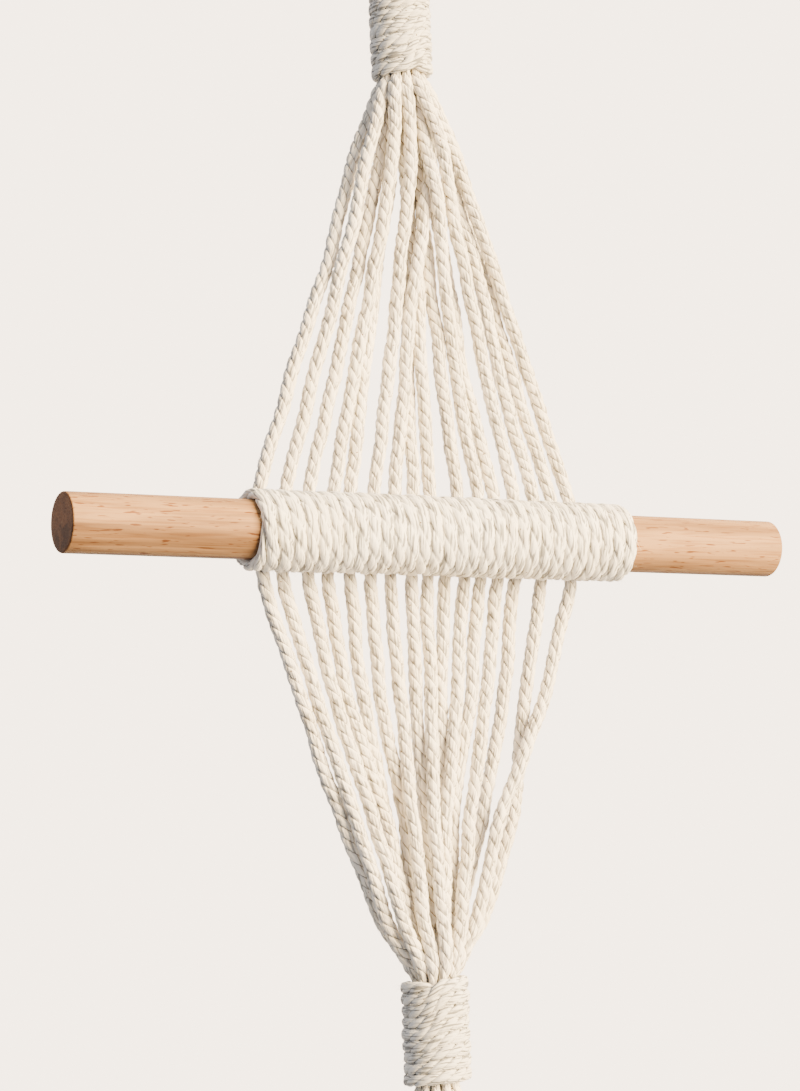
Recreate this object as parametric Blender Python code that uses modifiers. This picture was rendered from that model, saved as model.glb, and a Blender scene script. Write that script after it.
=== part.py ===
"""Macrame wall hanging with a wooden dowel.

Eight cotton cords are folded in half over the hanging point, which is the origin. Their sixteen strands are
gathered by a wrapped knot, fan out flat, pass behind a horizontal dowel, where a close winding binds them to
it, and are gathered again by a second wrapped knot, below which they hang as a short tassel.
Metres, +Z up, +X along the dowel, -Y towards the viewer, +Y towards the wall.
"""
import math

import bmesh
import bpy
import numpy as np

MM = 0.001

# Driving dimensions.
DOWEL_DIAMETER = 22.0 * MM
DOWEL_LENGTH = 300.0 * MM
DOWEL_EDGE = 0.8 * MM
CORD_DIAMETER = 5.0 * MM
KNOT_CORD_DIAMETER = 3.0 * MM
CLEARANCE = 0.3 * MM
CORD_PARTING = 0.8 * MM
EYE_WIDTH = 22.0 * MM
EYE_HEIGHT = 54.0 * MM
KNOT_HEIGHT = 40.0 * MM
KNOT_DIAMETER = 25.0 * MM
UPPER_FAN_HEIGHT = 181.0 * MM
LOWER_FAN_HEIGHT = 164.0 * MM
TASSEL_LENGTH = 65.0 * MM
TASSEL_RADIUS = 13.5 * MM
WRAP_THICKNESS = 4.4 * MM
WRAP_LEFT = -78.0 * MM
WRAP_RIGHT = 80.0 * MM

# Heights that follow from them. The cords lie in the plane y = 0.
CORD_RADIUS = CORD_DIAMETER / 2
KNOT_CORD_RADIUS = KNOT_CORD_DIAMETER / 2
DOWEL_RADIUS = DOWEL_DIAMETER / 2
DOWEL_Y = -(DOWEL_RADIUS + CLEARANCE + CORD_RADIUS)
UPPER_KNOT_TOP = -EYE_HEIGHT
UPPER_KNOT_BOTTOM = UPPER_KNOT_TOP - KNOT_HEIGHT
DOWEL_Z = UPPER_KNOT_BOTTOM - UPPER_FAN_HEIGHT
LOWER_KNOT_TOP = DOWEL_Z - LOWER_FAN_HEIGHT
LOWER_KNOT_BOTTOM = LOWER_KNOT_TOP - KNOT_HEIGHT
TASSEL_END = LOWER_KNOT_BOTTOM - TASSEL_LENGTH
LOOP_SPRING_Z = -EYE_WIDTH / 2
CORD_PARTING_Z = (UPPER_KNOT_TOP + UPPER_KNOT_BOTTOM) / 2

# Inside the knots the strands are pressed into a round bundle, which swells again past each mouth; past that
# its limit opens by so much per unit of height in the tassel and in the fans.
BUNDLE_RADIUS = 8.2 * MM
MOUTH_SWELL = 13.0 * MM
MOUTH_LENGTH = 9.0 * MM
TASSEL_OPENING = 0.05
FAN_OPENING = 3.0
TASSEL_SPREAD = 1.2

# Heights above and below the dowel's axis, in mm, at which the table gives a strand's place.
UPPER_STATIONS = (16.0, 60.0, 105.0, 150.0)
LOWER_STATIONS = (16.0, 60.0, 105.0, 145.0)

# A row for each strand, left to right: its x in mm at the upper stations and at the lower stations, and the
# layer in which it lies as each fan closes, from -1 in front to +1 behind.
STRANDS = (
    # 16 up  60 up  105 up  150 up  16 down 60 down 105 dn 145 dn  upper  lower layer
    (-67.0, -52.0, -35.0, -21.0, -66.0, -51.5, -36.0, -20.0, 0.6, 0.5),
    (-56.0, -42.5, -28.0, -14.5, -58.0, -45.5, -31.0, -18.0, -1.0, -0.6),
    (-46.5, -34.0, -22.0, -10.0, -47.5, -38.0, -23.5, -12.5, 0.4, -1.0),
    (-36.0, -26.0, -14.5, -4.0, -39.5, -32.5, -18.0, -11.0, -1.0, 0.3),
    (-29.0, -21.5, -13.5, -3.0, -30.0, -26.0, -17.0, -9.5, 1.0, 1.0),
    (-19.0, -11.0, -4.0, 2.5, -21.5, -18.5, -10.0, -6.5, -0.8, 0.6),
    (-10.0, -4.0, 2.0, 8.5, -13.0, -10.5, -7.5, -5.0, 0.0, -1.0),
    (-2.0, 0.0, 2.0, 5.0, -4.0, -3.0, -1.0, 1.0, 1.0, 0.7),
    (6.0, 2.0, 3.0, 5.5, 3.0, 2.0, 1.0, 2.0, 0.6, -1.0),
    (17.5, 13.0, 8.5, 7.0, 10.0, 8.0, 6.5, 6.0, 0.3, 1.0),
    (27.0, 19.5, 14.5, 10.0, 18.5, 13.5, 7.5, 5.5, -0.8, -0.5),
    (34.5, 22.5, 17.0, 12.0, 25.5, 19.5, 8.5, 7.5, 1.0, 0.4),
    (43.0, 33.0, 23.5, 13.5, 33.0, 26.5, 17.0, 10.0, -1.0, -1.0),
    (52.0, 39.5, 30.5, 16.0, 40.5, 34.5, 23.5, 12.5, 0.1, 0.7),
    (60.0, 46.0, 33.5, 19.0, 52.5, 44.5, 38.0, 23.5, 1.0, 1.0),
    (68.0, 53.0, 37.5, 21.0, 66.5, 51.0, 29.5, 17.0, -0.6, -1.0),
)

# A row for each folded cord: its left and right strand, its ring in the loop, counted from the eye outwards,
# and its place across the loop, from the front to the back.
CORDS = (
    # left  right  ring  across
    (1, 15, 2, 1.0),
    (2, 16, 2, -1.0),
    (3, 14, 2, 0.0),
    (4, 13, 1, -0.5),
    (5, 12, 1, 0.5),
    (6, 7, 0, -1.0),
    (9, 11, 0, 0.0),
    (8, 10, 0, 1.0),
)
LOOP_PITCH = CORD_DIAMETER + 0.45 * MM
LOOP_RING_STEP = LOOP_PITCH * math.sqrt(3) / 2
LOOP_ARC_STEPS = 7

# Places in the knots: the cords' pitch, the first column beside the middle and the step to the next, in
# pitches, and the share of a strand's last x in a fan that it keeps in the knot. In the fans: how deep the
# layers come to lie, and how far a strand moves right for each unit that it lies back.
KNOT_PITCH = KNOT_CORD_DIAMETER + 0.3 * MM
KNOT_FIRST_COLUMN = 0.5
KNOT_COLUMN_STEP = 0.7
BUNDLE_SHARE = 0.3
LAYER_DEPTH = 6.0 * MM
LAYER_LEAN = 0.5

# Rows of points on the tubes, measured outwards from a knot's mouth and either way from the dowel's axis.
MOUTH_ROWS = (0.0, 5.0 * MM, 10.0 * MM, 25.0 * MM, 60.0 * MM)
DOWEL_ROWS = (16.0 * MM, 40.0 * MM)
LARGEST_ROW_SHARE = 0.8
SLEEVE_STEPS = 24
SLEEVE_DRAW = 1.35

# How the strands settle: the step between heights, the rounds, the gap left between cords, the share of an
# overlap and of a bend taken out in a round, and how firmly a strand is drawn to its own place.
LEVEL_STEP = 4.0 * MM
SETTLE_ROUNDS = 1500
SETTLE_GAP = 0.55 * MM
PRESSED_GAP = 0.35 * MM
PUSH_SHARE = 0.35
BEND_SHARE = 0.5
DRAW_SHARE = 0.004
EASE_SHARE = 0.95
HELD_AT_DOWEL = 12.0 * MM
HELD_AT_LOOP = 8.0 * MM


def smoothstep(low, high, value):
    """0 below low, 1 above high, and a soft S between them."""
    part = np.clip((value - low) / (high - low), 0.0, 1.0)
    return part * part * (3.0 - 2.0 * part)


def outside_knots(z):
    """How far each height lies outside the nearest knot's span; zero inside a knot."""
    upper = np.maximum(UPPER_KNOT_BOTTOM - z, z - UPPER_KNOT_TOP)
    lower = np.maximum(LOWER_KNOT_BOTTOM - z, z - LOWER_KNOT_TOP)
    return np.maximum(np.minimum(upper, lower), 0.0)


def strand_radius(z):
    """A strand is pressed thin in the knots and is round again past their mouths."""
    return KNOT_CORD_RADIUS + (CORD_RADIUS - KNOT_CORD_RADIUS) * smoothstep(0.0, MOUTH_LENGTH, outside_knots(z))


def bundle_limit(z):
    """The radius around the knots' axis that holds the strands: narrow in a knot, open away from it."""
    away = outside_knots(z)
    swell = BUNDLE_RADIUS + (MOUTH_SWELL - BUNDLE_RADIUS) * smoothstep(0.0, MOUTH_LENGTH, away)
    beyond = np.maximum(away - MOUTH_LENGTH, 0.0)
    in_tassel = z < LOWER_KNOT_BOTTOM
    return np.where(in_tassel, np.minimum(swell + TASSEL_OPENING * beyond, TASSEL_RADIUS),
                    swell + FAN_OPENING * beyond)


def ring_radius(ring):
    """Middle line of a cord in the loop, from the eye outwards."""
    return EYE_WIDTH / 2 + CORD_RADIUS + ring * LOOP_RING_STEP


def strand_targets(z):
    """Each strand's place (x, y) at each height before the strands settle side by side."""
    heights = [LOWER_KNOT_BOTTOM, LOWER_KNOT_TOP]
    heights += [DOWEL_Z - s * MM for s in reversed(LOWER_STATIONS)]
    heights += [DOWEL_Z + s * MM for s in UPPER_STATIONS]
    heights += [UPPER_KNOT_BOTTOM]
    places = np.zeros((len(STRANDS), len(z), 2))
    for index, row in enumerate(STRANDS):
        upper, lower, front_upper, front_lower = row[0:4], row[4:8], row[8], row[9]
        drawn_in = lower[3] * BUNDLE_SHARE
        x = [drawn_in, drawn_in, *reversed(lower), *upper, upper[3] * BUNDLE_SHARE]
        places[index, :, 0] = np.interp(z, heights, np.array(x) * MM)
        near_lower = smoothstep(DOWEL_DIAMETER, LOWER_FAN_HEIGHT, DOWEL_Z - z)
        near_upper = smoothstep(DOWEL_DIAMETER, UPPER_FAN_HEIGHT, z - DOWEL_Z)
        places[index, :, 1] = LAYER_DEPTH * (front_lower * near_lower + front_upper * near_upper)
    places[:, :, 0] += LAYER_LEAN * places[:, :, 1]
    gather = smoothstep(UPPER_KNOT_BOTTOM - MOUTH_LENGTH, UPPER_KNOT_TOP, z)[:, None]
    rise = smoothstep(UPPER_KNOT_TOP - MOUTH_LENGTH, LOOP_SPRING_Z, z)[:, None]
    for left, right, ring, across in CORDS:
        for strand, side in ((left, -1.0), (right, 1.0)):
            column = side * (KNOT_FIRST_COLUMN + KNOT_COLUMN_STEP * ring)
            in_knot = np.array([column, across]) * KNOT_PITCH
            in_loop = np.array([side * ring_radius(ring), across * LOOP_PITCH])
            place = places[strand - 1]
            place += gather * (in_knot - place)
            place += rise * (in_loop - place)
    spread = smoothstep(0.0, TASSEL_LENGTH, LOWER_KNOT_BOTTOM - z)
    places *= (1.0 + TASSEL_SPREAD * spread)[None, :, None]
    return places


def settle(z):
    """Strand middle lines (strand, height, xy): wherever two strands are closer than a cord apart they are
    pushed apart along the line between them, the knots hold them in a round bundle, and a pull along each
    strand keeps it a smooth, nearly straight line."""
    target = strand_targets(z)
    radius = strand_radius(z)
    limit = bundle_limit(z)
    slope = np.gradient(target, z, axis=1)
    lean = np.sqrt(1.0 + (slope ** 2).sum(axis=2))
    need = (2 * radius + SETTLE_GAP)[None, None, :] * (lean[:, None, :] + lean[None, :, :]) / 2
    at_dowel = 1.0 - smoothstep(0.0, HELD_AT_DOWEL, np.abs(z - DOWEL_Z) - DOWEL_RADIUS - WRAP_THICKNESS)
    held = np.maximum(at_dowel, smoothstep(LOOP_SPRING_Z - HELD_AT_LOOP, LOOP_SPRING_Z, z))[None, :, None]
    place = target.copy()
    for turn in range(SETTLE_ROUNDS):
        between = place[:, None] - place[None]
        apart = np.sqrt((between ** 2).sum(axis=3)) + 1e-9
        short = np.clip(need - apart, 0.0, None)
        for strand in range(len(STRANDS)):
            short[strand, strand] = 0.0
        place += PUSH_SHARE * (between * (short / apart)[..., None]).sum(axis=1)
        from_axis = np.sqrt((place ** 2).sum(axis=2)) + 1e-9
        room = (limit - radius)[None, :]
        place *= np.minimum(1.0, room / from_axis)[..., None]
        ease = max(0.0, 1.0 - turn / (SETTLE_ROUNDS * EASE_SHARE))
        shift = place - target
        bend = 0.5 * (shift[:, :-2] + shift[:, 2:]) - shift[:, 1:-1]
        place[:, 1:-1] += BEND_SHARE * ease * bend - DRAW_SHARE * ease * shift[:, 1:-1]
        place = place + held * (target - place)
    return place


def strand_levels():
    """Heights from the tassel's end to the foot of the loop, one small step apart."""
    count = int(round((LOOP_SPRING_Z - TASSEL_END) / LEVEL_STEP)) + 1
    return np.linspace(TASSEL_END, LOOP_SPRING_Z, count)


def tube_heights():
    """The heights at which a strand's tube has its points: close at the knots' mouths, wider elsewhere."""
    rows = [TASSEL_END, (LOWER_KNOT_BOTTOM + LOWER_KNOT_TOP) / 2, LOOP_SPRING_Z]
    rows += [CORD_PARTING_Z - CORD_PARTING / 2, CORD_PARTING_Z + CORD_PARTING / 2]
    rows += [DOWEL_Z + side * row for row in DOWEL_ROWS for side in (-1.0, 1.0)]
    mouths = (
        # height, outwards, room
        (LOWER_KNOT_BOTTOM, -1.0, TASSEL_LENGTH),
        (LOWER_KNOT_TOP, 1.0, LOWER_FAN_HEIGHT),
        (UPPER_KNOT_BOTTOM, -1.0, UPPER_FAN_HEIGHT),
        (UPPER_KNOT_TOP, 1.0, LOOP_SPRING_Z - UPPER_KNOT_TOP),
    )
    for mouth, outward, span in mouths:
        rows += [mouth + outward * row for row in MOUTH_ROWS if row < LARGEST_ROW_SHARE * span]
    return np.sort(rows)


def strand_points(route, z, heights):
    """A settled strand's points (x, y, z) at the given heights."""
    return np.column_stack([np.interp(heights, z, route[:, 0]), np.interp(heights, z, route[:, 1]), heights])


def pressed_radii(routes, z, heights):
    """Each strand's radius at each tube point: a cord's own, or less where its neighbour presses on it."""
    between = 4
    fine = np.interp(np.arange((len(heights) - 1) * between + 1) / between, np.arange(len(heights)), heights)
    tubes = np.array([strand_points(route, z, heights) for route in routes])
    place = np.array([[np.interp(fine, heights, tube[:, axis]) for axis in (0, 1)] for tube in tubes])
    lean = np.sqrt(1.0 + (np.gradient(place, fine, axis=2) ** 2).sum(axis=1))
    apart = np.sqrt(((place[:, None] - place[None]) ** 2).sum(axis=2)) / np.maximum(lean[:, None], lean[None])
    apart[np.arange(len(routes)), np.arange(len(routes))] = 1.0
    nearest = apart.min(axis=1)
    room = np.array([nearest[:, max(0, i - between):i + between + 1].min(axis=1)
                     for i in range(0, len(fine), between)]).T
    return np.minimum(strand_radius(heights)[None], (room - PRESSED_GAP) / 2)


def loop_arc(ring, across):
    """The half circle over the hanging point, from the left leg to the right, without its two feet."""
    angle = np.linspace(math.pi, 0.0, LOOP_ARC_STEPS + 1)[1:-1]
    radius = ring_radius(ring)
    y = np.full_like(angle, across * LOOP_PITCH)
    return np.column_stack([radius * np.cos(angle), y, LOOP_SPRING_Z + radius * np.sin(angle)])


def make_material(name, color, roughness):
    """A plain finish for one kind of piece."""
    material = bpy.data.materials.new(name)
    material.use_nodes = True
    shader = material.node_tree.nodes["Principled BSDF"]
    shader.inputs["Base Color"].default_value = (*color, 1.0)
    shader.inputs["Roughness"].default_value = roughness
    shader.inputs["Metallic"].default_value = 0.0
    material.diffuse_color = (*color, 1.0)
    return material


def make_tube(name, points, radii, collection):
    """A round cord along the points, as a curve with filled ends."""
    curve = bpy.data.curves.new(name, "CURVE")
    curve.dimensions = "3D"
    curve.bevel_depth = CORD_RADIUS
    curve.bevel_resolution = 2
    curve.use_fill_caps = True
    curve.render_resolution_u = 0
    spline = curve.splines.new("POLY")
    spline.points.add(len(points) - 1)
    spline.points.foreach_set("co", np.column_stack([points, np.ones(len(points))]).ravel())
    spline.points.foreach_set("radius", np.asarray(radii) / CORD_RADIUS)
    piece = bpy.data.objects.new(name, curve)
    collection.objects.link(piece)
    return piece


def make_cords(collection, finish):
    """The eight folded cords. Each is one length of rope, built as a loop and two strands, so that every piece
    has a simple shape. They end face to face out of sight in the middle of the upper knot."""
    z = strand_levels()
    routes = settle(z)
    heights = tube_heights()
    pressed = pressed_radii(routes, z, heights)
    below = heights < CORD_PARTING_Z
    for strand, (route, radii) in enumerate(zip(routes, pressed), start=1):
        tube = make_tube(f"strand_{strand}", strand_points(route, z, heights[below]), radii[below], collection)
        tube.data.materials.append(finish)
    for number, (left, right, ring, across) in enumerate(CORDS, start=1):
        up = strand_points(routes[left - 1], z, heights[~below])
        down = strand_points(routes[right - 1], z, heights[~below])[::-1]
        arc = loop_arc(ring, across)
        radii = [*pressed[left - 1][~below], *([CORD_RADIUS] * len(arc)), *pressed[right - 1][~below][::-1]]
        loop = make_tube(f"loop_{number}", np.vstack([up, arc, down]), radii, collection)
        loop.data.materials.append(finish)
    return z, routes


def make_dowel(collection, finish):
    """The dowel, a plain rod with lightly broken edges."""
    mesh = bpy.data.meshes.new("dowel")
    shape = bmesh.new()
    bmesh.ops.create_cone(shape, cap_ends=True, segments=32, radius1=DOWEL_RADIUS, radius2=DOWEL_RADIUS,
                          depth=DOWEL_LENGTH)
    shape.to_mesh(mesh)
    shape.free()
    mesh.shade_smooth()
    mesh.set_sharp_from_angle(angle=math.radians(40))
    dowel = bpy.data.objects.new("dowel", mesh)
    dowel.location = (0.0, DOWEL_Y, DOWEL_Z)
    dowel.rotation_euler = (0.0, math.pi / 2, 0.0)
    edge = dowel.modifiers.new("edge", "BEVEL")
    edge.width = DOWEL_EDGE
    edge.segments = 1
    edge.limit_method = "ANGLE"
    edge.angle_limit = math.radians(40)
    mesh.materials.append(finish)
    collection.objects.link(dowel)


def make_sleeve(name, inner, outer, low, high, collection):
    """A winding as one round sleeve about the Z axis, turned from its section, with soft outer corners. Its
    bore is measured across the flats that the turning leaves."""
    inner = inner / math.cos(math.pi / SLEEVE_STEPS)
    corner = WRAP_THICKNESS / 2 - CLEARANCE
    quarter = np.linspace(0.0, math.pi / 2, 3)
    section = [(inner, high - corner / 2), (inner + corner / 2, high)]
    section += [(outer - corner + corner * math.sin(a), high - corner + corner * math.cos(a)) for a in quarter]
    section += [(outer - corner + corner * math.cos(a), low + corner - corner * math.sin(a)) for a in quarter]
    section += [(inner + corner / 2, low), (inner, low + corner / 2)]
    mesh = bpy.data.meshes.new(name)
    edges = [(i, (i + 1) % len(section)) for i in range(len(section))]
    mesh.from_pydata([(r, 0.0, h) for r, h in section], edges, [])
    sleeve = bpy.data.objects.new(name, mesh)
    turn = sleeve.modifiers.new("turn", "SCREW")
    turn.axis = "Z"
    turn.steps = SLEEVE_STEPS
    turn.render_steps = SLEEVE_STEPS
    turn.use_merge_vertices = True
    turn.merge_threshold = 0.00001
    turn.use_smooth_shade = True
    collection.objects.link(sleeve)
    return sleeve


def make_knot(name, top, bottom, collection, finish):
    """A wrapped knot, a sleeve about the bundle of strands."""
    knot = make_sleeve(name, BUNDLE_RADIUS + 2 * CLEARANCE, KNOT_DIAMETER / 2, bottom, top, collection)
    knot.data.materials.append(finish)


def draw_out_behind(mesh):
    """Move a sleeve's outer wall away from its axis on one side, where it passes over the strands."""
    place = np.empty(len(mesh.vertices) * 3)
    mesh.vertices.foreach_get("co", place)
    place = place.reshape(-1, 3)
    radius = np.hypot(place[:, 0], place[:, 1])
    behind = smoothstep(0.0, 1.0, np.clip(SLEEVE_DRAW * place[:, 0] / radius, 0.0, 1.0))
    wall = np.clip((radius - DOWEL_RADIUS - CLEARANCE) / (WRAP_THICKNESS - CLEARANCE), 0.0, 1.0)
    grown = radius + (CORD_DIAMETER + 2 * CLEARANCE) * behind * wall
    place[:, 0:2] *= (grown / radius)[:, None]
    mesh.vertices.foreach_set("co", place.ravel())
    mesh.update()


def make_dowel_wrap(collection, cutters, finish, z, routes):
    """The close winding about the dowel and the strands behind it, with a slot where each strand enters."""
    middle = (WRAP_LEFT + WRAP_RIGHT) / 2
    half = (WRAP_RIGHT - WRAP_LEFT) / 2
    round_sleeve = make_sleeve("round_sleeve", DOWEL_RADIUS + CLEARANCE, DOWEL_RADIUS + WRAP_THICKNESS, -half,
                               half, collection)
    wrap = as_mesh(round_sleeve, "dowel_wrap", collection)
    draw_out_behind(wrap.data)
    # The sleeve's own x becomes the depth, its y the height and its axis the dowel's direction.
    wrap.location = (middle, DOWEL_Y, DOWEL_Z)
    wrap.rotation_euler = (math.pi / 2, 0.0, math.pi / 2)
    wrap.data.materials.append(finish)
    heights = tube_heights()
    slot_heights = heights[np.abs(heights - DOWEL_Z) < 1.1 * max(DOWEL_ROWS)]
    slot_radius = CORD_RADIUS + 2 * CLEARANCE
    for number, route in enumerate(routes, start=1):
        points = strand_points(route, z, slot_heights)
        tube = make_tube(f"slot_{number}_curve", points, [slot_radius] * len(points), cutters)
        cutter = as_mesh(tube, f"slot_{number}", cutters)
        cutter.hide_render = True
        cutter.display_type = "WIRE"
        cut = wrap.modifiers.new(cutter.name, "BOOLEAN")
        cut.operation = "DIFFERENCE"
        cut.object = cutter
        cut.solver = "EXACT"


def as_mesh(source, name, collection):
    """The evaluated piece as a closed mesh object in the same place; the source is removed."""
    bpy.context.view_layer.update()
    evaluated = source.evaluated_get(bpy.context.evaluated_depsgraph_get())
    mesh = bpy.data.meshes.new_from_object(evaluated)
    shape = bmesh.new()
    shape.from_mesh(mesh)
    bmesh.ops.remove_doubles(shape, verts=shape.verts, dist=0.00001)
    bmesh.ops.recalc_face_normals(shape, faces=shape.faces)
    shape.to_mesh(mesh)
    shape.free()
    piece = bpy.data.objects.new(name, mesh)
    piece.matrix_world = source.matrix_world
    collection.objects.link(piece)
    bpy.data.objects.remove(source)
    return piece


def main():
    """Clear the scene and build every piece."""
    for leftover in list(bpy.data.objects):
        bpy.data.objects.remove(leftover)
    pieces = bpy.data.collections.new("macrame_wall_hanging")
    cutters = bpy.data.collections.new("cutters")
    for group in (pieces, cutters):
        bpy.context.scene.collection.children.link(group)
    beech = make_material("oiled beech", (0.78, 0.53, 0.34), 0.5)
    cotton = make_material("natural cotton cord", (0.86, 0.80, 0.70), 0.9)
    winding = make_material("bleached cotton cord", (0.84, 0.81, 0.76), 0.9)
    make_dowel(pieces, beech)
    z, routes = make_cords(pieces, cotton)
    make_knot("upper_wrap", UPPER_KNOT_TOP, UPPER_KNOT_BOTTOM, pieces, winding)
    make_knot("lower_wrap", LOWER_KNOT_TOP, LOWER_KNOT_BOTTOM, pieces, winding)
    make_dowel_wrap(pieces, cutters, winding, z, routes)


main()
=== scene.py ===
"""Macrame wall hanging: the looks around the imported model.

Eight folded cotton cords of three plies run from a hanging loop through a wrapped knot and fan out behind a
beech dowel, where a close winding binds them to it. They close into a second knot over a short tassel.
Metres, +Z up, +X along the dowel, -Y towards the viewer.
"""
import math

import bpy
import numpy as np
from mathutils import Matrix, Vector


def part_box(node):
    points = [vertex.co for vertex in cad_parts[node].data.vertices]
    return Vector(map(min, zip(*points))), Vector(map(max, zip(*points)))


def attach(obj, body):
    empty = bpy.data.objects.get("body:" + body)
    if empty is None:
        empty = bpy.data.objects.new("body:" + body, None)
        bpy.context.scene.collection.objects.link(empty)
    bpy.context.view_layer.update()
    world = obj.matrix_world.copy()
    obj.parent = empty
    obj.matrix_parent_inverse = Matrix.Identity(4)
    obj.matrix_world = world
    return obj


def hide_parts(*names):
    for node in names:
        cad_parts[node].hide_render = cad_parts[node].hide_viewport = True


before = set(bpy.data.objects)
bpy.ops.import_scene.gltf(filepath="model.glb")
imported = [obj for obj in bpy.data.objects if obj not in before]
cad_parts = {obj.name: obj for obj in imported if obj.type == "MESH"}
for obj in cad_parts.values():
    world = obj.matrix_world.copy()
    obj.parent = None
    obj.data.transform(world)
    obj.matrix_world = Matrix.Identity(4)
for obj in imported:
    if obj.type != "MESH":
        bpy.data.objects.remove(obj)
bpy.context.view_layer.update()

bl_info = {
    "name": "Macrame Wall Hanging",
    "version": (1, 0, 0),
    "blender": (4, 5, 0),
    "location": "View3D > Sidebar > Macrame",
    "description": "Builds a corded wall hanging bound to a wooden dowel around its packed model",
    "category": "Add Mesh",
}

MM = 0.001
TURN = 2.0 * math.pi

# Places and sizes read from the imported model.
(DOWEL_LEFT, dowel_front, dowel_below), (DOWEL_RIGHT, dowel_back, dowel_above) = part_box("dowel")
DOWEL_RADIUS = (dowel_above - dowel_below) / 2
DOWEL_Y = (dowel_front + dowel_back) / 2
DOWEL_Z = (dowel_below + dowel_above) / 2
(WRAP_LEFT, _, _), (WRAP_RIGHT, _, _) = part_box("dowel_wrap")
(_, _, UPPER_KNOT_BOTTOM), (_, _, UPPER_KNOT_TOP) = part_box("upper_wrap")
(_, _, LOWER_KNOT_BOTTOM), (_, _, LOWER_KNOT_TOP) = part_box("lower_wrap")
UPPER_FAN_HEIGHT = UPPER_KNOT_BOTTOM - DOWEL_Z
LOWER_FAN_HEIGHT = DOWEL_Z - LOWER_KNOT_TOP
TASSEL_LENGTH = 65.0 * MM
TASSEL_END = LOWER_KNOT_BOTTOM - TASSEL_LENGTH

# The cords' own sizes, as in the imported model.
CORD_RADIUS = 2.5 * MM
KNOT_CORD_RADIUS = 1.5 * MM
EYE_WIDTH = 22.0 * MM
LOOP_SPRING_Z = -EYE_WIDTH / 2
WRAP_THICKNESS = 4.4 * MM

# Inside the knots the strands are pressed into a round bundle, which swells again past each mouth. Past that
# its limit opens by so much per unit of height in the tassel and in the fans.
BUNDLE_RADIUS = 8.2 * MM
MOUTH_SWELL = 13.0 * MM
MOUTH_LENGTH = 9.0 * MM
TASSEL_RADIUS = 13.5 * MM
TASSEL_OPENING = 0.05
FAN_OPENING = 3.0
TASSEL_SPREAD = 1.2

# Heights above and below the dowel's axis, in mm, at which the table gives a strand's place.
UPPER_STATIONS = (16.0, 60.0, 105.0, 150.0)
LOWER_STATIONS = (16.0, 60.0, 105.0, 145.0)

# A row for each strand, left to right: its x in mm at the upper stations and at the lower stations, and the
# layer in which it lies as each fan closes, from -1 in front to +1 behind.
STRANDS = (
    # 16 up  60 up  105 up  150 up  16 down 60 down 105 dn 145 dn  upper  lower layer
    (-67.0, -52.0, -35.0, -21.0, -66.0, -51.5, -36.0, -20.0, 0.6, 0.5),
    (-56.0, -42.5, -28.0, -14.5, -58.0, -45.5, -31.0, -18.0, -1.0, -0.6),
    (-46.5, -34.0, -22.0, -10.0, -47.5, -38.0, -23.5, -12.5, 0.4, -1.0),
    (-36.0, -26.0, -14.5, -4.0, -39.5, -32.5, -18.0, -11.0, -1.0, 0.3),
    (-29.0, -21.5, -13.5, -3.0, -30.0, -26.0, -17.0, -9.5, 1.0, 1.0),
    (-19.0, -11.0, -4.0, 2.5, -21.5, -18.5, -10.0, -6.5, -0.8, 0.6),
    (-10.0, -4.0, 2.0, 8.5, -13.0, -10.5, -7.5, -5.0, 0.0, -1.0),
    (-2.0, 0.0, 2.0, 5.0, -4.0, -3.0, -1.0, 1.0, 1.0, 0.7),
    (6.0, 2.0, 3.0, 5.5, 3.0, 2.0, 1.0, 2.0, 0.6, -1.0),
    (17.5, 13.0, 8.5, 7.0, 10.0, 8.0, 6.5, 6.0, 0.3, 1.0),
    (27.0, 19.5, 14.5, 10.0, 18.5, 13.5, 7.5, 5.5, -0.8, -0.5),
    (34.5, 22.5, 17.0, 12.0, 25.5, 19.5, 8.5, 7.5, 1.0, 0.4),
    (43.0, 33.0, 23.5, 13.5, 33.0, 26.5, 17.0, 10.0, -1.0, -1.0),
    (52.0, 39.5, 30.5, 16.0, 40.5, 34.5, 23.5, 12.5, 0.1, 0.7),
    (60.0, 46.0, 33.5, 19.0, 52.5, 44.5, 38.0, 23.5, 1.0, 1.0),
    (68.0, 53.0, 37.5, 21.0, 66.5, 51.0, 29.5, 17.0, -0.6, -1.0),
)

# A row for each folded cord: its left and right strand, its ring in the loop, counted from the eye outwards,
# and its place across the loop, from the front to the back.
CORDS = (
    # left  right  ring  across
    (1, 15, 2, 1.0),
    (2, 16, 2, -1.0),
    (3, 14, 2, 0.0),
    (4, 13, 1, -0.5),
    (5, 12, 1, 0.5),
    (6, 7, 0, -1.0),
    (9, 11, 0, 0.0),
    (8, 10, 0, 1.0),
)
LOOP_PITCH = 2 * CORD_RADIUS + 0.45 * MM
LOOP_RING_STEP = LOOP_PITCH * math.sqrt(3) / 2

# Places in the knots: the cords' pitch, the first column beside the middle and the step to the next, in
# pitches, and the share of a strand's last x in a fan that it keeps in the knot. In the fans: how deep the
# layers come to lie, and how far a strand moves right for each unit that it lies back.
KNOT_PITCH = 2 * KNOT_CORD_RADIUS + 0.3 * MM
KNOT_FIRST_COLUMN = 0.5
KNOT_COLUMN_STEP = 0.7
BUNDLE_SHARE = 0.3
LAYER_DEPTH = 6.0 * MM
LAYER_LEAN = 0.5

# How the strands settle: the step between heights, the rounds, the gap left between cords, the share of an
# overlap and of a bend taken out in a round, how firmly a strand is drawn to its own place, the share of the
# rounds over which both ease off, and the heights over which the dowel and the loop hold it there.
LEVEL_STEP = 4.0 * MM
SETTLE_ROUNDS = 1500
SETTLE_GAP = 0.55 * MM
PUSH_SHARE = 0.35
BEND_SHARE = 0.5
DRAW_SHARE = 0.004
EASE_SHARE = 0.95
HELD_AT_DOWEL = 12.0 * MM
HELD_AT_LOOP = 8.0 * MM

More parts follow.
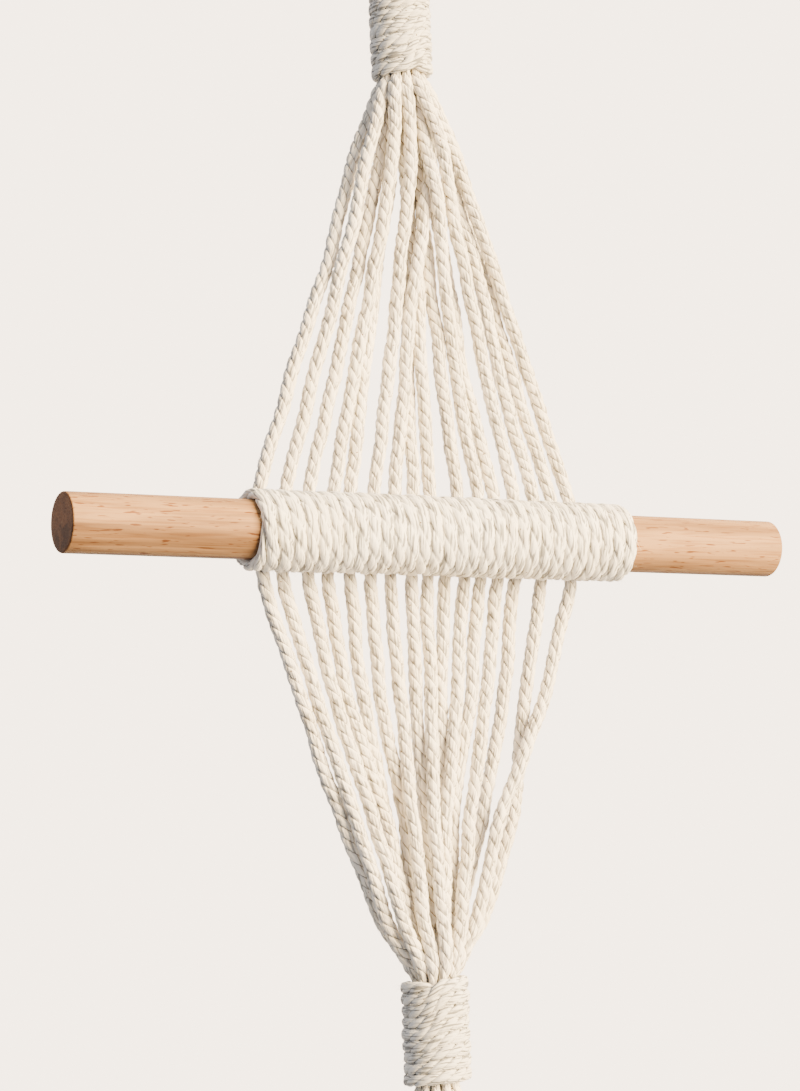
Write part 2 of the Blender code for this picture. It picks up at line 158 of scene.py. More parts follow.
# The rope as it is seen, a little fuller than its nominal size: its plies, the points around each, the rows
# in a lay, and how much deeper than the plies' own arcs the crease between them is cut.
FULL_RADIUS = 2.7 * MM
PLIES = 3
COLUMNS_PER_PLY = 9
ROWS_PER_LAY = 13
CREASE = 0.22

# Unevenness of a rope: how much a ply swells, the spread of its surface's roughness, both as shares of the
# radius, and the length and angle in radians of the drift of its lay.
PLY_SWELL = 0.05
ROUGHNESS = 0.022
LAY_DRIFT_LENGTH = 90 * MM
LAY_DRIFT = 0.45

# A loose fibre: the rings of points along it, its radius at the root, which is coarser than a real one's so
# that it shows, how deep the root sits, the share of the radius lost at the tip, its length, and as shares of
# that its lift and its sideways bend.
FIBRE_RINGS = 5
FIBRE_RADIUS = 0.055 * MM
FIBRE_ROOT = 0.15 * MM
FIBRE_TAPER = 0.75
FIBRE_LENGTHS = (1.8 * MM, 5.2 * MM)
FIBRE_LIFTS = (0.08, 0.42)
FIBRE_BEND = 0.4

# Rows of points in a turn of a winding.
STEPS_PER_TURN = 144

WHITE = (1.0, 1.0, 1.0)


def smoothstep(low, high, value):
    """0 below low, 1 above high, and a soft S between them."""
    part = np.clip((value - low) / (high - low), 0.0, 1.0)
    return part * part * (3.0 - 2.0 * part)


def outside_knots(z):
    """How far each height lies outside the nearest knot's span; zero inside a knot."""
    upper = np.maximum(UPPER_KNOT_BOTTOM - z, z - UPPER_KNOT_TOP)
    lower = np.maximum(LOWER_KNOT_BOTTOM - z, z - LOWER_KNOT_TOP)
    return np.maximum(np.minimum(upper, lower), 0.0)


def strand_radius(z):
    """The radius with which the strands settle: thin in the knots and round again past their mouths."""
    opened = smoothstep(0.0, MOUTH_LENGTH, outside_knots(z))
    return KNOT_CORD_RADIUS + (CORD_RADIUS - KNOT_CORD_RADIUS) * opened


def bundle_limit(z):
    """The radius around the knots' axis that holds the strands: narrow in a knot, open away from it."""
    away = outside_knots(z)
    swell = BUNDLE_RADIUS + (MOUTH_SWELL - BUNDLE_RADIUS) * smoothstep(0.0, MOUTH_LENGTH, away)
    beyond = np.maximum(away - MOUTH_LENGTH, 0.0)
    return np.where(z < LOWER_KNOT_BOTTOM, np.minimum(swell + TASSEL_OPENING * beyond, TASSEL_RADIUS),
                    swell + FAN_OPENING * beyond)


def ring_radius(ring):
    """Middle line of a cord in the loop, from the eye outwards."""
    return EYE_WIDTH / 2 + CORD_RADIUS + ring * LOOP_RING_STEP


def strand_targets(z):
    """Each strand's place (x, y) at each height before the strands settle side by side."""
    heights = [LOWER_KNOT_BOTTOM, LOWER_KNOT_TOP]
    heights += [DOWEL_Z - s * MM for s in reversed(LOWER_STATIONS)]
    heights += [DOWEL_Z + s * MM for s in UPPER_STATIONS]
    heights += [UPPER_KNOT_BOTTOM]
    places = np.zeros((len(STRANDS), len(z), 2))
    for index, row in enumerate(STRANDS):
        upper, lower, front_upper, front_lower = row[0:4], row[4:8], row[8], row[9]
        drawn_in = lower[3] * BUNDLE_SHARE
        x = [drawn_in, drawn_in, *reversed(lower), *upper, upper[3] * BUNDLE_SHARE]
        places[index, :, 0] = np.interp(z, heights, np.array(x) * MM)
        near_lower = smoothstep(2 * DOWEL_RADIUS, LOWER_FAN_HEIGHT, DOWEL_Z - z)
        near_upper = smoothstep(2 * DOWEL_RADIUS, UPPER_FAN_HEIGHT, z - DOWEL_Z)
        places[index, :, 1] = LAYER_DEPTH * (front_lower * near_lower + front_upper * near_upper)
    places[:, :, 0] += LAYER_LEAN * places[:, :, 1]
    gather = smoothstep(UPPER_KNOT_BOTTOM - MOUTH_LENGTH, UPPER_KNOT_TOP, z)[:, None]
    rise = smoothstep(UPPER_KNOT_TOP - MOUTH_LENGTH, LOOP_SPRING_Z, z)[:, None]
    for left, right, ring, across in CORDS:
        for strand, side in ((left, -1.0), (right, 1.0)):
            column = side * (KNOT_FIRST_COLUMN + KNOT_COLUMN_STEP * ring)
            in_knot = np.array([column, across]) * KNOT_PITCH
            in_loop = np.array([side * ring_radius(ring), across * LOOP_PITCH])
            place = places[strand - 1]
            place += gather * (in_knot - place)
            place += rise * (in_loop - place)
    spread = smoothstep(0.0, TASSEL_LENGTH, LOWER_KNOT_BOTTOM - z)
    places *= (1.0 + TASSEL_SPREAD * spread)[None, :, None]
    return places


def settle(z):
    """Strand middle lines (strand, height, xy): wherever two strands are closer than a cord apart they are
    pushed apart along the line between them, the knots hold them in a round bundle, and a pull along each
    strand keeps it a smooth, nearly straight line."""
    target = strand_targets(z)
    radius = strand_radius(z)
    limit = bundle_limit(z)
    slope = np.gradient(target, z, axis=1)
    lean = np.sqrt(1.0 + (slope ** 2).sum(axis=2))
    need = (2 * radius + SETTLE_GAP)[None, None, :] * (lean[:, None, :] + lean[None, :, :]) / 2
    at_dowel = 1.0 - smoothstep(0.0, HELD_AT_DOWEL, np.abs(z - DOWEL_Z) - DOWEL_RADIUS - WRAP_THICKNESS)
    held = np.maximum(at_dowel, smoothstep(LOOP_SPRING_Z - HELD_AT_LOOP, LOOP_SPRING_Z, z))[None, :, None]
    place = target.copy()
    for turn in range(SETTLE_ROUNDS):
        between = place[:, None] - place[None]
        apart = np.sqrt((between ** 2).sum(axis=3)) + 1e-9
        short = np.clip(need - apart, 0.0, None)
        for strand in range(len(STRANDS)):
            short[strand, strand] = 0.0
        place += PUSH_SHARE * (between * (short / apart)[..., None]).sum(axis=1)
        from_axis = np.sqrt((place ** 2).sum(axis=2)) + 1e-9
        room = (limit - radius)[None, :]
        place *= np.minimum(1.0, room / from_axis)[..., None]
        ease = max(0.0, 1.0 - turn / (SETTLE_ROUNDS * EASE_SHARE))
        shift = place - target
        bend = 0.5 * (shift[:, :-2] + shift[:, 2:]) - shift[:, 1:-1]
        place[:, 1:-1] += BEND_SHARE * ease * bend - DRAW_SHARE * ease * shift[:, 1:-1]
        place = place + held * (target - place)
    return place


def linear(code):
    """The linear colour of an sRGB hex value such as F0E6D7."""
    shares = [int(code[i:i + 2], 16) / 255 for i in (0, 2, 4)]
    return tuple(s / 12.92 if s <= 0.04045 else ((s + 0.055) / 1.055) ** 2.4 for s in shares)


def wander(along, seed, length, amount):
    """A gentle drift: 1.4 times the mean of three sine waves, with lengths drawn about the stated one and
    phases drawn at random."""
    draw = np.random.default_rng(seed)
    waves = length * draw.uniform(0.6, 1.7, 3)
    phases = draw.uniform(0.0, TURN, 3)
    return 1.4 * amount * np.sin(TURN * along[..., None] / waves + phases).mean(axis=-1)


def softened(values, reach):
    """Each column of values averaged, with soft weights, over reach rows either way. Both end rows stay."""
    kernel = np.hanning(2 * reach + 3)[1:-1]
    kernel = kernel / kernel.sum()
    padded = np.pad(values, ((reach, reach), (0, 0)), mode="reflect", reflect_type="odd")
    return np.column_stack([np.convolve(column, kernel, mode="valid") for column in padded.T])


def even_path(points, step):
    """The same route with its rows an even step apart, and each row's distance along it."""
    steps = np.linalg.norm(np.diff(points[:, 0:3], axis=0), axis=1)
    run = np.concatenate([[0.0], np.cumsum(steps)])
    along = np.linspace(0.0, run[-1], max(2, int(round(run[-1] / step)) + 1))
    return np.column_stack([np.interp(along, run, column) for column in points.T]), along


def ply_outline(ply_share):
    """Section of a cord of unit radius as complex numbers: each ply is an arc of a round of radius ply_share
    about a point 1 - ply_share from the middle, up to where it meets the next ply."""
    middle = 1.0 - ply_share
    third = math.pi / PLIES
    half = third + math.asin(middle * math.sin(third) / ply_share)
    bend = np.linspace(-half, half, COLUMNS_PER_PLY + 1)[:-1]
    arc = middle + ply_share * np.exp(1j * bend)
    return np.concatenate([arc * np.exp(1j * TURN * ply / PLIES) for ply in range(PLIES)])


def laid_cord(path, along, wide, thick, reference, lay, ply_share, pressed, worn, seed):
    """A rope of three plies along a path. Its section lies square to the path, wide along the reference
    direction and thick across it, and turns left-handed once in each lay. The section's corners fill out as
    the exponent pressed rises above 2, as in a rope that lies tight between its neighbours, and worn is the
    share of the plies' relief that is rubbed flat on its inner and outer faces. Each ply swells and shrinks a
    little, and the surface is finely uneven. Returns the grid of points, the crown value (0 in the valleys,
    1 on the plies) and the UV grid in metres: the distance round the cord from its reference side, and along
    it."""
    tangent = np.gradient(path, along, axis=0)
    tangent /= np.linalg.norm(tangent, axis=1)[:, None]
    side = reference - (tangent @ reference)[:, None] * tangent
    side /= np.linalg.norm(side, axis=1)[:, None]
    over = np.cross(tangent, side)
    outline = ply_outline(ply_share)
    outline[::COLUMNS_PER_PLY] *= 1.0 - CREASE
    columns = len(outline)
    swell = np.repeat(np.stack([wander(along, seed * 10 + ply, 4 * lay / PLIES, PLY_SWELL)
                                for ply in range(PLIES)], axis=1), COLUMNS_PER_PLY, axis=1)
    # Three rows are summed and divided by about the root of 3, which keeps the spread as it is.
    uneven = np.random.default_rng(seed).normal(0.0, ROUGHNESS, (len(path), columns))
    uneven[1:-1] = (uneven[:-2] + uneven[1:-1] + uneven[2:]) / 1.7
    turn = -TURN * along / lay + wander(along, seed * 10 + 7, LAY_DRIFT_LENGTH, LAY_DRIFT)
    section = outline[None, :] * (1.0 + swell) * np.exp(1j * turn)[:, None]
    direction = section / np.abs(section)
    flat = worn * direction.imag ** 2
    reach = np.abs(section) * (1.0 - flat) + (1.0 - 0.5 * CREASE) * flat + uneven
    section = (direction * reach
               * (np.abs(direction.real) ** pressed + np.abs(direction.imag) ** pressed) ** (-1 / pressed))
    grid = (path[:, None] + (wide[:, None] * section.real)[..., None] * side[:, None]
            + (thick[:, None] * section.imag)[..., None] * over[:, None])
    # The crown value is the mask by which the materials paint shade into the valleys between plies.
    valley = np.abs(outline).min()
    crown = (np.abs(outline) - valley)[None, :] / (1.0 - valley)
    crown = crown + flat * (1.0 - crown)
    angle = np.unwrap(np.angle(outline))
    angle = np.concatenate([angle, [angle[0] + TURN]])
    round_cord = (angle[None, :] + turn[:, None]) * CORD_RADIUS
    uv = np.stack([round_cord, np.broadcast_to(along[:, None], round_cord.shape)], axis=-1)
    return grid, crown, uv


def shell(grid, crown, uv):
    """A closed tube from a grid of rings: four-sided faces between the rings and a fan of triangles over each
    end, all facing outwards."""
    rows, columns = grid.shape[:2]
    row, column = np.arange(rows - 1)[:, None], np.arange(columns)[None, :]
    following = (column + 1) % columns
    quads = np.stack([row * columns + column, row * columns + following, (row + 1) * columns + following,
                      (row + 1) * columns + column], axis=-1).reshape(-1, 4)
    quad_uv = np.stack([uv[:-1, :-1], uv[:-1, 1:], uv[1:, 1:], uv[1:, :-1]], axis=2).reshape(-1, 2)
    ring, after, last = np.arange(columns), (np.arange(columns) + 1) % columns, (rows - 1) * columns
    start, end = rows * columns, rows * columns + 1
    fans = np.concatenate([np.stack([np.full(columns, start), after, ring], axis=1),
                           np.stack([np.full(columns, end), last + ring, last + after], axis=1)])
    fan_uv = np.concatenate([np.stack([uv[0, :-1], uv[0, 1:], uv[0, :-1]], axis=1),
                             np.stack([uv[-1, :-1], uv[-1, :-1], uv[-1, 1:]], axis=1)]).reshape(-1, 2)
    points = np.concatenate([grid.reshape(-1, 3), [grid[0].mean(axis=0), grid[-1].mean(axis=0)]])
    crowns = np.concatenate([crown.ravel(), [0.5, 0.5]])
    return points, crowns, quads, fans, np.concatenate([quad_uv, fan_uv])


def loose_fibres(ropes, count, seed):
    """Fine fibres that stand off some ropes, given as grids of points, in one shell. Each starts at a point
    drawn from a rope's surface and is a three-sided taper: it runs along the rope for its length, lifts off
    with the distance to the power 1.5, and bends sideways with the distance squared."""
    draw = np.random.default_rng(seed)
    share = np.linspace(0.0, 1.0, FIBRE_RINGS)[None, :, None]
    angle = TURN * np.arange(3) / 3
    rings = []
    for grid in ropes:
        number = int(count * len(grid) / sum(len(each) for each in ropes))
        middle = grid.mean(axis=1)
        row, column = draw.integers(6, len(grid) - 6, number), draw.integers(0, grid.shape[1], number)
        out = grid[row, column] - middle[row]
        out /= np.linalg.norm(out, axis=1)[:, None]
        ahead = (middle[row + 4] - middle[row - 4]) * draw.choice((-1.0, 1.0), number)[:, None]
        ahead /= np.linalg.norm(ahead, axis=1)[:, None]
        across = np.cross(ahead, out)
        length = draw.uniform(*FIBRE_LENGTHS, number)[:, None, None]
        lift = draw.uniform(*FIBRE_LIFTS, (number, 1, 1))
        bend = draw.normal(0.0, FIBRE_BEND, (number, 1, 1))
        line = (grid[row, column] - FIBRE_ROOT * out)[:, None] + length * (
            share * ahead[:, None] + lift * share ** 1.5 * out[:, None] + bend * share ** 2 * across[:, None])
        radius = FIBRE_RADIUS * (1.0 - FIBRE_TAPER * share)
        rings.append(line[:, :, None] + radius[..., None] * (
            np.cos(angle)[:, None] * out[:, None, None] + np.sin(angle)[:, None] * across[:, None, None]))
    rings = np.concatenate(rings)
    first = 3 * FIBRE_RINGS * np.arange(len(rings))[:, None, None]
    ring, side = np.arange(FIBRE_RINGS - 1)[:, None], np.arange(3)
    low, following = 3 * ring + side, 3 * ring + (side + 1) % 3
    quads = (first[..., None] + np.stack([low, following, following + 3, low + 3], axis=-1)).reshape(-1, 4)
    ends = (first + np.array([[0, 2, 1], 3 * (FIBRE_RINGS - 1) + np.arange(3)])).reshape(-1, 3)
    loops = len(quads) * 4 + len(ends) * 3
    return rings.reshape(-1, 3), np.ones(rings.size // 3), quads, ends, np.zeros((loops, 2))


def put_piece(name, shells, material, slot, *nodes):
    """One mesh object from closed shells, which rides on the root body and stands for the given nodes."""
    counts = np.cumsum([0] + [len(s[0]) for s in shells])
    corners = np.concatenate([np.concatenate([s[2].ravel(), s[3].ravel()]) + base
                              for s, base in zip(shells, counts)])
    sizes = np.concatenate([np.concatenate([np.full(len(s[2]), 4), np.full(len(s[3]), 3)]) for s in shells])
    mesh = bpy.data.meshes.new(name)
    mesh.vertices.add(counts[-1])
    mesh.vertices.foreach_set("co", np.concatenate([s[0] for s in shells]).ravel())
    mesh.loops.add(len(corners))
    mesh.loops.foreach_set("vertex_index", corners)
    mesh.polygons.add(len(sizes))
    mesh.polygons.foreach_set("loop_start", np.cumsum(sizes) - sizes)
    mesh.polygons.foreach_set("use_smooth", sizes == 4)
    layer = mesh.uv_layers.new(name="lay")
    layer.data.foreach_set("uv", np.concatenate([s[4] for s in shells]).ravel())
    crown = mesh.attributes.new("crown", "FLOAT", "POINT")
    crown.data.foreach_set("value", np.concatenate([s[1] for s in shells]))
    mesh.update(calc_edges=True)
    mesh.materials.append(material)
    piece = bpy.data.objects.new(name, mesh)
    bpy.context.scene.collection.objects.link(piece)
    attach(piece, "root")
    if nodes:
        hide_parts(*nodes)
    return piece


# Materials.

# How a mix node joins two colours.
MIXED = {"data_type": "RGBA", "blend_type": "MIX"}
MULTIPLIED = {"data_type": "RGBA", "blend_type": "MULTIPLY"}


def add_node(tree, kind, settings=None, inputs=None, stops=()):
    """A node of the given kind with its settings, its inputs linked from sockets or set to values, and a
    colour ramp's stops as (place, colour). A colour is three numbers."""
    node = tree.nodes.new(kind)
    for name, value in (settings or {}).items():
        setattr(node, name, value)
    for name, value in (inputs or {}).items():
        socket = node.inputs[name]
        if isinstance(value, bpy.types.NodeSocket):
            tree.links.new(value, socket)
        else:
            socket.default_value = (*value, 1.0) if socket.type == "RGBA" else value
    for index, (place, color) in enumerate(stops):
        elements = node.color_ramp.elements
        element = elements[index] if index < 2 else elements.new(place)
        element.position = place
        element.color = (*color, 1.0)
    return node


def blank_material(name, roughness, sheen=0.0):
    """A material with only its Principled shader and output; returns the tree and the shader too."""
    material = bpy.data.materials.new(name)
    material.use_nodes = True
    tree = material.node_tree
    shader = tree.nodes["Principled BSDF"]
    shader.inputs["Roughness"].default_value = roughness
    shader.inputs["Sheen Weight"].default_value = sheen
    shader.inputs["Sheen Roughness"].default_value = 0.5
    return material, tree, shader


def tinted(tree, color, factor, stops):
    """A colour multiplied by a ramp over a factor."""
    tint = add_node(tree, "ShaderNodeValToRGB", inputs={"Fac": factor}, stops=stops).outputs["Color"]
    return add_node(tree, "ShaderNodeMix", MULTIPLIED, {
        "Factor": 1.0, "A": color, "B": tint}).outputs["Result"]


def soft_side(tree, place, direction, start, full):
    """A soft step, from 0 to 1, of how far a place lies along a direction: from start to full."""
    along = add_node(tree, "ShaderNodeVectorMath", {"operation": "DOT_PRODUCT"}, {0: place, 1: direction})
    return add_node(tree, "ShaderNodeMapRange", {"interpolation_type": "SMOOTHSTEP"}, {
        "Value": along.outputs["Value"], "From Min": start, "From Max": full}).outputs["Result"]


def streaks(tree, place, offset, across, length):
    """A noise stretched along the cord: threads of the given width and length, in metres, on the lay UV."""
    spread = add_node(tree, "ShaderNodeMapping", inputs={
        "Vector": place, "Location": (offset, offset, 0.0),
        "Scale": (1 / across, 1 / length, 1.0)}).outputs[0]
    return add_node(tree, "ShaderNodeTexNoise", {"noise_dimensions": "2D"},
                    {"Vector": spread, "Scale": 1.0, "Detail": 1.0}).outputs["Fac"]


def cotton_rope(name, crown_color, valley_shade_color, threads, relief, seed):
    """Carded cotton rope. The fibres run nearly along the cord, in fine yarns that catch the light. Between
    the yarns the colour falls to the share threads. It is darkened in the valleys between plies as painted
    shade, drifts slowly along the cord, and has a rare seed speck. The yarns stand up by the relief, broader
    bands by half."""
    material, tree, shader = blank_material(name, roughness=0.95, sheen=0.3)
    place = add_node(tree, "ShaderNodeUVMap", {"uv_map": "lay"}).outputs["UV"]
    # Single fibres are too fine to show. They are drawn as yarns some 0.5 mm wide that can be followed for
    # 5 mm, and as broader, longer bands of deeper cotton.
    yarn = streaks(tree, place, seed, across=0.95 * MM, length=8.0 * MM)
    band = streaks(tree, place, seed + 5.0, across=2.2 * MM, length=16.0 * MM)
    spot = add_node(tree, "ShaderNodeTexCoord").outputs["Object"]
    drift = add_node(tree, "ShaderNodeTexNoise", inputs={
        "Vector": spot, "Scale": 1 / (24.0 * MM), "Detail": 2.0}).outputs["Fac"]
    speck = add_node(tree, "ShaderNodeTexNoise", inputs={
        "Vector": spot, "Scale": 1 / (1.1 * MM), "Detail": 0.0}).outputs["Fac"]
    crown = add_node(tree, "ShaderNodeAttribute", {"attribute_name": "crown"}).outputs["Fac"]
    # Painted shade: where the crown value is low, in the creases between the plies, the colour falls to the
    # valley colour.
    color = add_node(tree, "ShaderNodeValToRGB", inputs={"Fac": crown},
                     stops=((0.06, valley_shade_color), (0.42, crown_color))).outputs["Color"]
    tints = (
        # noise, value up to which the tint is full, value from which it is gone, tint
        (yarn, 0.36, 0.46, (threads, threads, threads)),
        (band, 0.34, 0.56, (0.90, 0.89, 0.88)),
        (drift, 0.34, 0.60, (0.95, 0.93, 0.89)),
    )
    for factor, low, high, tint in tints:
        color = tinted(tree, color, factor, ((low, tint), (high, WHITE)))
    color = tinted(tree, color, speck, ((0.835, WHITE), (0.852, linear("7A5E40"))))
    tree.links.new(color, shader.inputs["Base Color"])
    coarse = add_node(tree, "ShaderNodeBump", inputs={
        "Height": band, "Strength": 1.0, "Distance": 0.5 * relief})
    fine = add_node(tree, "ShaderNodeBump", inputs={
        "Height": yarn, "Strength": 1.0, "Distance": relief, "Normal": coarse.outputs["Normal"]})
    tree.links.new(fine.outputs["Normal"], shader.inputs["Normal"])
    return material


def oiled_beech(light, dark, fleck):
    """Steamed beech, turned, sanded and lightly oiled, which leaves it matt. The growth rings show as soft
    streaks along the rod, the pores as fine dark lines, drawn coarser than real so that they show, and the
    rays as short dark flecks a few millimetres long. The lower side is darkened as painted shade, and the end
    grain is darker."""
    material, tree, shader = blank_material("sanded steamed beech", roughness=0.6)
    shader.inputs["IOR"].default_value = 1.45
    shader.inputs["Specular IOR Level"].default_value = 0.15
    spot = add_node(tree, "ShaderNodeTexCoord").outputs["Object"]

    def grain(length, across, detail, distortion=0.0):
        """A noise stretched along the rod."""
        spread = add_node(tree, "ShaderNodeMapping", inputs={
            "Vector": spot, "Scale": (1 / length, 1 / across, 1 / across)}).outputs[0]
        return add_node(tree, "ShaderNodeTexNoise", inputs={
            "Vector": spread, "Scale": 1.0, "Detail": detail, "Distortion": distortion}).outputs["Fac"]

    rings = grain(90.0 * MM, 5.0 * MM, detail=4.0, distortion=0.5)
    pores = grain(22.0 * MM, 0.9 * MM, detail=2.0)
    rays = grain(6.5 * MM, 0.85 * MM, detail=1.0)
    palest = tuple(1.1 * c for c in light)
    color = add_node(tree, "ShaderNodeValToRGB", inputs={"Fac": rings},
                     stops=((0.38, dark), (0.56, light), (0.72, palest))).outputs["Color"]
    color = tinted(tree, color, pores, ((0.36, (0.80, 0.73, 0.65)), (0.52, WHITE)))
    color = tinted(tree, color, rays, ((0.635, WHITE), (0.69, fleck)))
    # Painted shade on the lower side: from 0.3 of the radius below the axis it darkens, fully so from 0.7.
    painted_shade_below = soft_side(tree, spot, (0.03, 0.0, 1.0), DOWEL_Z - 0.3 * DOWEL_RADIUS,
                      DOWEL_Z - 0.7 * DOWEL_RADIUS)
    shadow = add_node(tree, "ShaderNodeValToRGB", inputs={"Fac": rings},
                      stops=((0.42, (0.60, 0.58, 0.58)), (0.62, (0.84, 0.84, 0.85))))
    color = add_node(tree, "ShaderNodeMix", MULTIPLIED, {
        "Factor": painted_shade_below, "A": color, "B": shadow.outputs["Color"]}).outputs["Result"]
    ends = add_node(tree, "ShaderNodeAttribute", {"attribute_name": "crown"}).outputs["Fac"]
    color = add_node(tree, "ShaderNodeMix", MULTIPLIED, {
        "Factor": ends, "A": color, "B": linear("B99F8F")}).outputs["Result"]
    tree.links.new(color, shader.inputs["Base Color"])
    bump = add_node(tree, "ShaderNodeBump", inputs={"Height": pores, "Strength": 0.3, "Distance": 0.08 * MM})
    tree.links.new(bump.outputs["Normal"], shader.inputs["Normal"])
    return material


# Shapes.


def folded_path(route_left, route_right, z, ring, across):
    """Middle line of a folded cord: up its left strand, over the loop's half circle and down its right one.
    The strands' rows are 1 mm apart, and each is softened over 6 of them either way."""
    fine = np.linspace(z[0], z[-1], int(round((z[-1] - z[0]) / MM)) + 1)
    legs = []
    for route in (route_left, route_right):
        leg = np.column_stack([np.interp(fine, z, route[:, 0]), np.interp(fine, z, route[:, 1])])
        legs.append(np.column_stack([softened(leg, reach=6), fine]))
    angle = np.linspace(math.pi, 0.0, 60)[1:-1]
    radius = ring_radius(ring)
    arc = np.column_stack([radius * np.cos(angle), np.full_like(angle, across * LOOP_PITCH),
                           LOOP_SPRING_Z + radius * np.sin(angle)])
    return np.vstack([legs[0], arc, legs[1][::-1]])


def drawn_radius(z):
    """A strand's radius to be seen: squeezed in the knots and full again 5 mm past their mouths."""
    opened = smoothstep(-1 * MM, 5 * MM, outside_knots(z))
    return KNOT_CORD_RADIUS + (FULL_RADIUS - KNOT_CORD_RADIUS) * opened


def winding(length, pitch, turns, opening, closing, seed):
    """Places along a winding of close turns between two flat edges. A turn's width drifts a little about the
    pitch; the rope opens from nothing over the first angle and closes over the last; and at every angle the
    turns' widths are scaled together to fill the length. Returns the turned angle from the start, the
    middle's distance from the first edge and the width there."""
    steps = STEPS_PER_TURN
    t = np.linspace(0.0, TURN * turns, int(round(turns * steps)) + 1)
    width = pitch * (1.0 + wander(t, seed, length=4.0, amount=0.07))
    width *= smoothstep(0.0, opening, t) * smoothstep(0.0, closing, t[-1] - t)
    rows = -(-len(t) // steps)
    stack = np.append(width, np.zeros(rows * steps - len(t))).reshape(rows, steps)
    scale = length / stack.sum(axis=0)
    middle = ((np.cumsum(stack, axis=0) - stack / 2) * scale).ravel()[:len(t)]
    return t, middle, (stack * scale).ravel()[:len(t)]


def tucked(t, reach):
    """How far a winding's rope is tucked away at each turned angle: 1 at both ends, 0 past the reach."""
    return 1.0 - smoothstep(0.0, reach, t) + (1.0 - smoothstep(0.0, reach, t[-1] - t))


def setting(name, description, default, unit="LENGTH"):
    """A setting of one number, in metres unless the unit is another."""
    return bpy.props.FloatProperty(name=name, description=description, default=default, unit=unit)


def color_setting(name, description, default):
    """A setting of one colour."""
    return bpy.props.FloatVectorProperty(name=name, description=description, default=default, subtype="COLOR")


class CordSettings(bpy.types.PropertyGroup):
    """Sizes and colours of the rope."""
    lay: setting("Lay", "Length of cord in which a ply goes once round it", 15.4 * MM)
    ply: setting("Ply", "Radius of a ply's outside, as a share of the cord's", 0.76, "NONE")
    color: color_setting("Cord colour", "Colour of the hanging cords", linear("F3ECDF"))
    # The valley colour is painted shade in the creases between the plies.
    shade: color_setting("Valley colour", "Colour between the plies", linear("786F65"))
    wrap_lay: setting("Winding lay", "Lay of the rope round the dowel, drawn out longer", 24.0 * MM)
    wrap_ply: setting("Winding ply", "The same share in the pressed windings", 0.70, "NONE")
    wrap_color: color_setting("Winding colour", "Colour of the rope round the dowel", linear("F1EEE6"))
    # Painted shade: the knots' rope is drawn darker than the same rope on the dowel, which keeps the knots
    # dim.
    knot_color_with_shade: color_setting("Knot colour", "Colour of the rope round the knots", linear("E4E1D9"))
    # The windings' valley colour is painted shade in the creases between their plies, on the knots too.
    wrap_shade: color_setting("Winding valley colour", "Colour between the windings' plies", linear("8C857C"))


class WindingSettings(bpy.types.PropertyGroup):
    """Numbers and sizes of the windings."""
    binding_turns: setting("Turns on the dowel", "Turns that bind the strands", 30.6, "NONE")
    knot_turns: setting("Turns of a knot", "Turns of each wrapped knot", 8.6, "NONE")
    thickness: setting("Wound thickness", "Thickness of a turn off its core", 4.3 * MM)
    upper_diameter: setting("Upper knot", "Outer diameter of the upper knot", 24.3 * MM)
    lower_diameter: setting("Lower knot", "Outer diameter of the lower knot", 25.6 * MM)


class DowelSettings(bpy.types.PropertyGroup):
    """The dowel's edge and colours."""
    edge: setting("Edge", "Radius of the broken edges", 0.7 * MM)
    light: color_setting("Early wood", "Light colour of the beech", linear("A07C56"))
    dark: color_setting("Late wood", "Colour of the grain's streaks", linear("876645"))
    fleck: color_setting("Ray flecks", "Tint of the short flecks", linear("B89C8C"))


class StageSettings(bpy.types.PropertyGroup):
    """Light and floor."""
    bright: color_setting("Bright side", "Light from the surroundings' bright side", (1.0, 0.82, 0.65))
    bright_strength: setting("Bright strength", "Strength on the bright side", 5.8, "NONE")
    dim: color_setting("Dim side", "Light from the surroundings' dim side", (1.0, 1.0, 1.06))
    key_power: setting("Key light", "Power of the large light", 980.0, "POWER")
    key_color: color_setting("Key colour", "Colour of the large light", (1.0, 0.75, 0.42))
    floor: color_setting("Floor", "Colour of the floor", linear("ECE9E4"))


